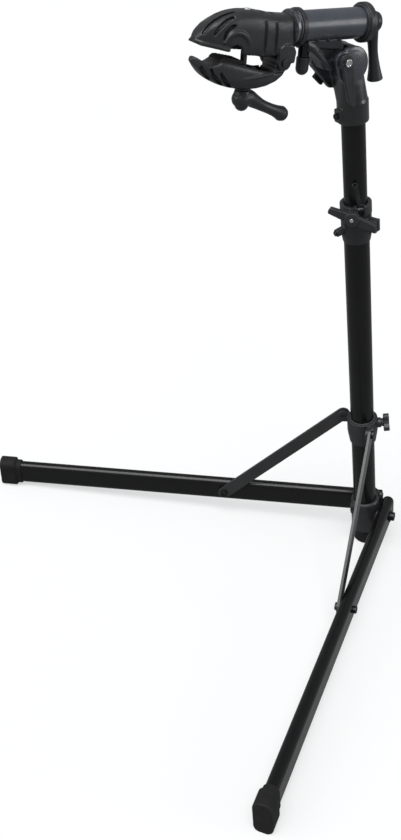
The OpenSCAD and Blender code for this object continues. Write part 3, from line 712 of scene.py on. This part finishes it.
def head_bracket():
    """The cast bracket: a saddle under the barrel, a pocketed web and a sloping front flange."""
    piece = copied("head_bracket")

    def flange(work):
        prism(work, [(68, -21), (66, -28), (20, -66), (12, -64), (55, -26)], -17.5, 17.5, HEAD)
        for x in (8, 30, 50):
            rod(work, [(x, y, -17.5 - 0.012 * (20 - abs(y)) ** 2) for y in range(-16, 17, 4)],
                [2.6] * 9, HEAD)

    def pockets(tool):
        for side in (1, -1):
            low, high = sorted((side * 8.5, side * 30))
            prism(tool, [(10, -35), (46, -29), (22, -52), (14, -50)], low, high, HEAD)

    joined(piece, flange)
    melted(piece, 0.9, 2, 1.0)
    cut(piece, pockets)
    cut(piece, lambda tool: barrel_shape(tool, (62, 0, -40), (8.6, 60), HEAD, axis="Z"))
    melted(piece, 0.8, 6, 0.5)
    settle(piece, "head_bracket", BRACKET_FINISH)


def lever_rim(work):
    """A raised rim along the tilt lever's back edge."""
    lean = Matrix.Rotation(LEVER_LEAN, 3, "Y")
    for x0, x1 in ((-8.5, -3.5), (7.5, 3)):
        path = [(x0, 30, -6), (x0 * 0.9, 30, -28), (x0 * 0.7, 30, -50), (x1, 30, -68)]
        rod(work, [lean @ Vector(point) for point in path], [2.2, 2.4, 2.2, 1.6], TILT)


def spin_ring():
    """The turning ring: two thin black rims with a satin neck between them, coloured lighter than
    the rims, partly as a painted highlight.
    """
    work = bmesh.new()
    x0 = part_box("spin_ring")[0][0]
    profile = [(0, 15), (0, 25.8), (0.6, 26.8), (2.2, 27.1), (3, 26.4), (3.2, 24.8), (9, 24.8),
               (9.2, 26), (10, 26.8), (11.4, 26.4), (12, 25), (12, 10), (4, 10), (4, 15)]
    sides = 96
    rings = []
    for k in range(sides):
        turn = 2 * pi * k / sides
        rings.append([work.verts.new((x0 + a * MM, HEAD.y + radius * MM * cos(turn),
                                      HEAD.z + radius * MM * sin(turn))) for a, radius in profile])
    for one, other in zip(rings, rings[1:] + rings[:1]):
        for i in range(len(profile)):
            j = (i + 1) % len(profile)
            work.faces.new((one[i], one[j], other[j], other[i]))
    piece = new_piece("spin_ring_turned", work)
    shade(piece, radians(40))
    settle(piece, "spin_ring")
    piece.data.materials.append(RING_NECK_HIGHLIGHT_FINISH)
    for face in piece.data.polygons:
        across = (face.center.x - x0) / MM
        reach = (Vector(face.center) - Vector((face.center.x, HEAD.y, HEAD.z))).length / MM
        # the neck's faces take the lighter satin colour, partly a painted highlight
        if 3.1 < across < 9.1 and reach > 24:
            face.material_index = 1


upper_jaw()
lower_jaw()
spin_ring()
lower_pad()
clamp_lever()
rear_handle()
head_bracket()
cast("tilt_lever", 0.6, 5, add=lever_rim)


# ---- floor and light ----------------------------------------------------
def make_floor():
    """A pale floor that neither lights the stand from below nor mirrors in it."""
    mesh = bpy.data.meshes.new("floor")
    work = bmesh.new()
    bmesh.ops.create_grid(work, x_segments=1, y_segments=1, size=14.0)
    work.to_mesh(mesh)
    work.free()
    floor = bpy.data.objects.new("floor", mesh)
    bpy.context.scene.collection.objects.link(floor)
    s = Surface("pale_floor", roughness=0.9, specular=0.1)
    s.colour(s.mix(s.noise(0.7, 2.0), (0.34, 0.342, 0.344), (0.355, 0.357, 0.36)))
    s.shader.inputs["Emission Color"].default_value = (0.99, 0.995, 1.0, 1.0)
    s.shader.inputs["Emission Strength"].default_value = 0.56
    mesh.materials.append(s.material)
    floor.visible_diffuse = False
    floor.visible_glossy = False


def sun(name, azimuth, elevation, strength, spread):
    """A very wide distant light, like a large softbox: azimuth is where it stands, from +X."""
    data = bpy.data.lights.new(name, "SUN")
    data.energy = strength
    data.angle = radians(spread)
    light = bpy.data.objects.new(name, data)
    away = Vector((cos(radians(azimuth)) * cos(radians(elevation)),
                   sin(radians(azimuth)) * cos(radians(elevation)), sin(radians(elevation))))
    light.rotation_euler = (-away).to_track_quat("-Z", "Y").to_euler()
    bpy.context.scene.collection.objects.link(light)


def make_light():
    """A dim pale sky and three broad suns."""
    world = bpy.data.worlds.new("studio")
    bpy.context.scene.world = world
    world.use_nodes = True
    world.node_tree.nodes["Background"].inputs["Color"].default_value = (0.97, 0.985, 1.0, 1.0)
    world.node_tree.nodes["Background"].inputs["Strength"].default_value = 0.3
    sun("overhead", 40, 62, 2.7, 46)
    sun("from_left", -12, 26, 1.25, 56)
    sun("from_right", 138, 14, 0.8, 30)
    bpy.context.scene.view_settings.view_transform = "Standard"


make_floor()
make_light()
